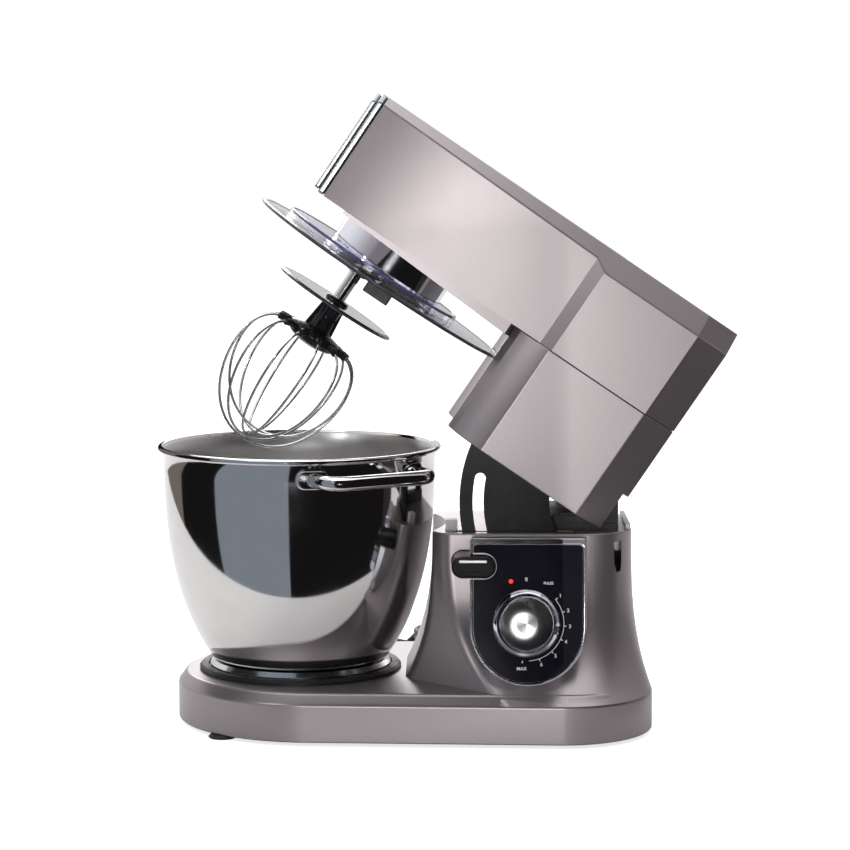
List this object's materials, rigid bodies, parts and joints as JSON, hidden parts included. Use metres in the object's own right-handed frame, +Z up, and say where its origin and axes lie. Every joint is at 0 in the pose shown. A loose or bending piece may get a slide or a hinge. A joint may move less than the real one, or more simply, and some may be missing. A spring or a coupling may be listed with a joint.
{
  "type": "stand mixer",
  "caption": "Tilt-head stand mixer with a hinged head raised, planetary tool drive, wire whisk, splash guard, metal bowl with a side handle, speed knob panel and mains cord.",
  "frame": {"origin": "on the table, on the bowl's axis, at the middle of the central foot's underside", "axes": "+Z up, +X from the bowl to the hinge column, -Y to the side with the control panel"},
  "size_m": [0.4866, 0.4586, 0.5293],
  "materials": {
    "paint": "satin",
    "trim": "polished",
    "steel": "polished",
    "black_plastic": "gloss",
    "matte_black": "matte",
    "rubber": "matte",
    "clear_plastic": "clear",
    "lamp": "gloss",
    "grey_plastic": "satin",
    "board": "matte",
    "bronze": "machined",
    "cast_metal": "cast",
    "copper": "varnished windings"
  },
  "bodies": {
    "root": {"base_shell": "paint", "bottom_cover": "matte_black", "cover_screws": "steel", "rubber_feet": "rubber", "seat_ring": "black_plastic", "control_panel": "black_plastic", "panel_frame": "trim", "pilot_lens": "lamp", "control_board": "board", "speed_switch": "matte_black", "hinge_bracket": "matte_black", "hinge_pin": "steel", "safety_switch": "matte_black", "cord_gland": "matte_black", "power_cord": "rubber", "cord_coil": "rubber", "plug_body": "matte_black", "plug_pins": "steel", "release_spring": "steel", "interlock_spring": "steel"},
    "knob": {"speed_knob": "trim", "knob_cap": "trim"},
    "release": {"release_button": "black_plastic", "latch_pin": "steel"},
    "interlock": {"interlock_plunger": "grey_plastic"},
    "bowl": {"bowl_shell": "steel", "bowl_foot": "steel", "bowl_handle": "steel"},
    "head": {"head_shell": "paint", "neck_shell": "paint", "neck_cover": "matte_black", "head_belly": "paint", "front_cap": "trim", "front_gasket": "rubber", "sector_plate": "matte_black", "hinge_arms": "cast_metal", "hinge_bushes": "bronze", "planet_housing": "trim", "ring_gear": "steel", "guard_collar": "clear_plastic", "splash_guard": "clear_plastic", "gear_frame": "cast_metal", "shaft_bearings": "steel", "motor_frame": "cast_metal", "motor_stator": "cast_metal", "carbon_brushes": "cast_metal", "drive_belt": "rubber"},
    "motor": {"motor_armature": "copper", "motor_pulley": "steel", "cooling_fan": "matte_black"},
    "layshaft": {"lay_shaft": "steel", "lay_pulley": "steel"},
    "planet": {"planet_carrier": "matte_black", "carrier_shaft": "steel", "drive_wheel": "grey_plastic"},
    "spindle": {"tool_spindle": "steel", "planet_pinion": "steel", "whisk_disc": "clear_plastic", "whisk_hub": "black_plastic", "whisk_wires": "steel"}
  },
  "joints": [
    {"name": "head_tilt", "type": "hinge", "parent": "root", "child": "head", "pos_m": [0.26, 0, 0.193], "axis": [0, -1, 0], "range_deg": [0, 34]},
    {"name": "speed_turn", "type": "hinge", "parent": "root", "child": "knob", "pos_m": [0.19, -0.10257, 0.09937], "axis": [0, 0.9877, -0.1564], "range_deg": [0, 180]},
    {"name": "release_press", "type": "slide", "parent": "root", "child": "release", "axis": [0, 1, 0], "range_m": [0, 0.005], "stiffness_N_per_m": 800, "springref_m": -0.002},
    {"name": "interlock_press", "type": "slide", "parent": "root", "child": "interlock", "axis": [0, 0, -1], "range_m": [0, 0.005], "stiffness_N_per_m": 400, "springref_m": -0.002},
    {"name": "bowl_twist", "type": "hinge", "parent": "root", "child": "bowl", "pos_m": [0, 0, 0.05], "axis": [0, 0, -1], "range_deg": [0, 40]},
    {"name": "motor_spin", "type": "hinge", "parent": "head", "child": "motor", "pos_m": [0.2618, 0, 0.32085], "axis": [0.5592, 0, 0.829], "continuous": true},
    {"name": "lay_spin", "type": "hinge", "parent": "head", "child": "layshaft", "pos_m": [0.14159, 0, 0.40193], "axis": [0.5592, 0, 0.829], "continuous": true},
    {"name": "planet_spin", "type": "hinge", "parent": "head", "child": "planet", "pos_m": [0.08192, 0, 0.39394], "axis": [0.5592, 0, 0.829], "continuous": true},
    {"name": "spindle_spin", "type": "hinge", "parent": "planet", "child": "spindle", "pos_m": [0.05415, 0, 0.38854], "axis": [0.5592, 0, 0.829], "continuous": true}
  ],
  "couplings": [
    {"joint": "lay_spin", "follows": "motor_spin", "ratio": 0.17647},
    {"joint": "planet_spin", "follows": "motor_spin", "ratio": -0.035294},
    {"joint": "spindle_spin", "follows": "motor_spin", "ratio": 0.12941}
  ]
}
